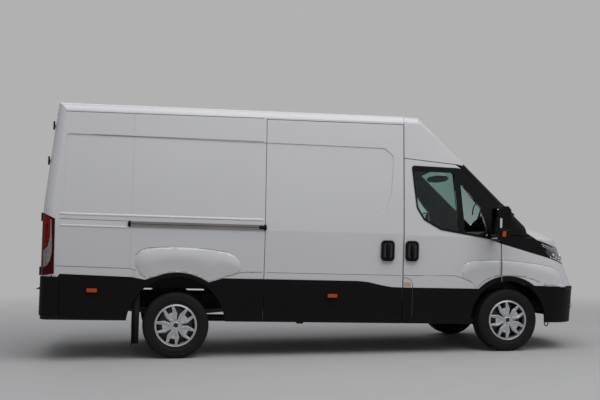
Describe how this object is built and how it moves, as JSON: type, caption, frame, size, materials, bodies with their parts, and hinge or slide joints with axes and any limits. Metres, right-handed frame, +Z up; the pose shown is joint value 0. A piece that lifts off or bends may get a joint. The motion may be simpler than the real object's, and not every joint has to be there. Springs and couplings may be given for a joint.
{
  "type": "panel van",
  "caption": "High-roof panel van with a long load space, side sliding door, rear doors, hinged cab doors and bonnet, steered front wheels.",
  "frame": {"origin": "middle of the length and width, on the ground between the wheels", "axes": "+X towards the front along the van, +Y to its left, +Z up; the body stands 1.46 degrees nose down as the empty van does"},
  "size_m": [5.9161, 2.57, 2.5891],
  "materials": {
    "white_paint": "gloss",
    "floor_metal": "satin",
    "green_glass": "clear, lightly tinted",
    "black_plastic": "fine grain",
    "dark_plastic": "fine grain",
    "seat_fabric": "woven",
    "lamp_plastic": "clear lens over chrome",
    "red_lens": "gloss",
    "rail_metal": "brushed",
    "chassis_paint": "satin black",
    "cast_metal": "rough",
    "engine_metal": "rough",
    "pipe_metal": "dull",
    "tyre_rubber": "matt",
    "silver_cap": "silver paint"
  },
  "bodies": {
    "body": {"body_side_right": "white_paint", "body_side_left": "white_paint", "sliding_door": "white_paint", "roof": "white_paint", "cab_roof": "white_paint", "front_wings": "white_paint", "cab_shell": "white_paint", "load_floor": "floor_metal", "bulkhead": "floor_metal", "windscreen": "green_glass", "cowl": "black_plastic", "front_bumper": "black_plastic", "grille": "black_plastic", "body_cladding": "black_plastic", "rear_bumper": "black_plastic", "dashboard": "dark_plastic", "seats": "seat_fabric", "headlamps": "lamp_plastic", "rear_and_side_lamps": "red_lens", "sliding_door_rail": "rail_metal", "chassis_frame": "chassis_paint", "tow_socket": "chassis_paint", "rear_axle": "cast_metal", "front_suspension": "cast_metal", "engine_block": "engine_metal", "exhaust": "pipe_metal", "fuel_tank": "dark_plastic"},
    "door_right": {"cab_door_right": "white_paint", "cab_door_glass_right": "green_glass", "cab_door_trim_right": "black_plastic"},
    "door_left": {"cab_door_left": "white_paint", "cab_door_glass_left": "green_glass", "cab_door_trim_left": "black_plastic"},
    "back_door_right": {"rear_door_right": "white_paint"},
    "back_door_left": {"rear_door_left": "white_paint"},
    "bonnet_lid": {"bonnet": "white_paint"},
    "steer_hub_right": {"knuckle_right": "cast_metal"},
    "steer_hub_left": {"knuckle_left": "cast_metal"},
    "road_wheel_front_right": {"wheel_front_right": "silver_cap", "tyre_front_right": "tyre_rubber"},
    "road_wheel_front_left": {"wheel_front_left": "silver_cap", "tyre_front_left": "tyre_rubber"},
    "road_wheel_rear_right": {"wheel_rear_right": "silver_cap", "tyre_rear_right": "tyre_rubber"},
    "road_wheel_rear_left": {"wheel_rear_left": "silver_cap", "tyre_rear_left": "tyre_rubber"}
  },
  "joints": [
    {"name": "cab_door_swing_right", "type": "hinge", "parent": "body", "child": "door_right", "pos_m": [1.83417, -0.968, 0.95863], "axis": [0.0255, 0, 0.9997], "range_deg": [0, 70]},
    {"name": "cab_door_swing_left", "type": "hinge", "parent": "body", "child": "door_left", "pos_m": [1.83417, 0.968, 0.95863], "axis": [-0.0255, 0, -0.9997], "range_deg": [0, 70]},
    {"name": "rear_door_swing_right", "type": "hinge", "parent": "body", "child": "back_door_right", "pos_m": [-2.8702, -0.883, 1.2786], "axis": [0.0255, 0, 0.9997], "range_deg": [0, 180]},
    {"name": "rear_door_swing_left", "type": "hinge", "parent": "body", "child": "back_door_left", "pos_m": [-2.8702, 0.883, 1.2786], "axis": [-0.0255, 0, -0.9997], "range_deg": [0, 180]},
    {"name": "bonnet_lift", "type": "hinge", "parent": "body", "child": "bonnet_lid", "pos_m": [2.2381, 0, 1.38248], "axis": [0, -1, 0], "range_deg": [0, 60]},
    {"name": "steer_left", "type": "hinge", "parent": "body", "child": "steer_hub_left", "pos_m": [1.9625, 0.742, 0.33], "axis": [0, 0, 1], "range_deg": [-35, 35]},
    {"name": "steer_right", "type": "hinge", "parent": "body", "child": "steer_hub_right", "pos_m": [1.9625, -0.742, 0.33], "axis": [0, 0, 1], "range_deg": [-35, 35]},
    {"name": "wheel_spin_front_right", "type": "hinge", "parent": "steer_hub_right", "child": "road_wheel_front_right", "pos_m": [1.9625, -0.855, 0.33], "axis": [0, 1, 0], "continuous": true},
    {"name": "wheel_spin_front_left", "type": "hinge", "parent": "steer_hub_left", "child": "road_wheel_front_left", "pos_m": [1.9625, 0.855, 0.33], "axis": [0, 1, 0], "continuous": true},
    {"name": "wheel_spin_rear_right", "type": "hinge", "parent": "body", "child": "road_wheel_rear_right", "pos_m": [-1.5575, -0.855, 0.33], "axis": [0, 1, 0], "continuous": true},
    {"name": "wheel_spin_rear_left", "type": "hinge", "parent": "body", "child": "road_wheel_rear_left", "pos_m": [-1.5575, 0.855, 0.33], "axis": [0, 1, 0], "continuous": true}
  ],
  "couplings": [
    {"joint": "steer_right", "follows": "steer_left", "ratio": 1}
  ]
}
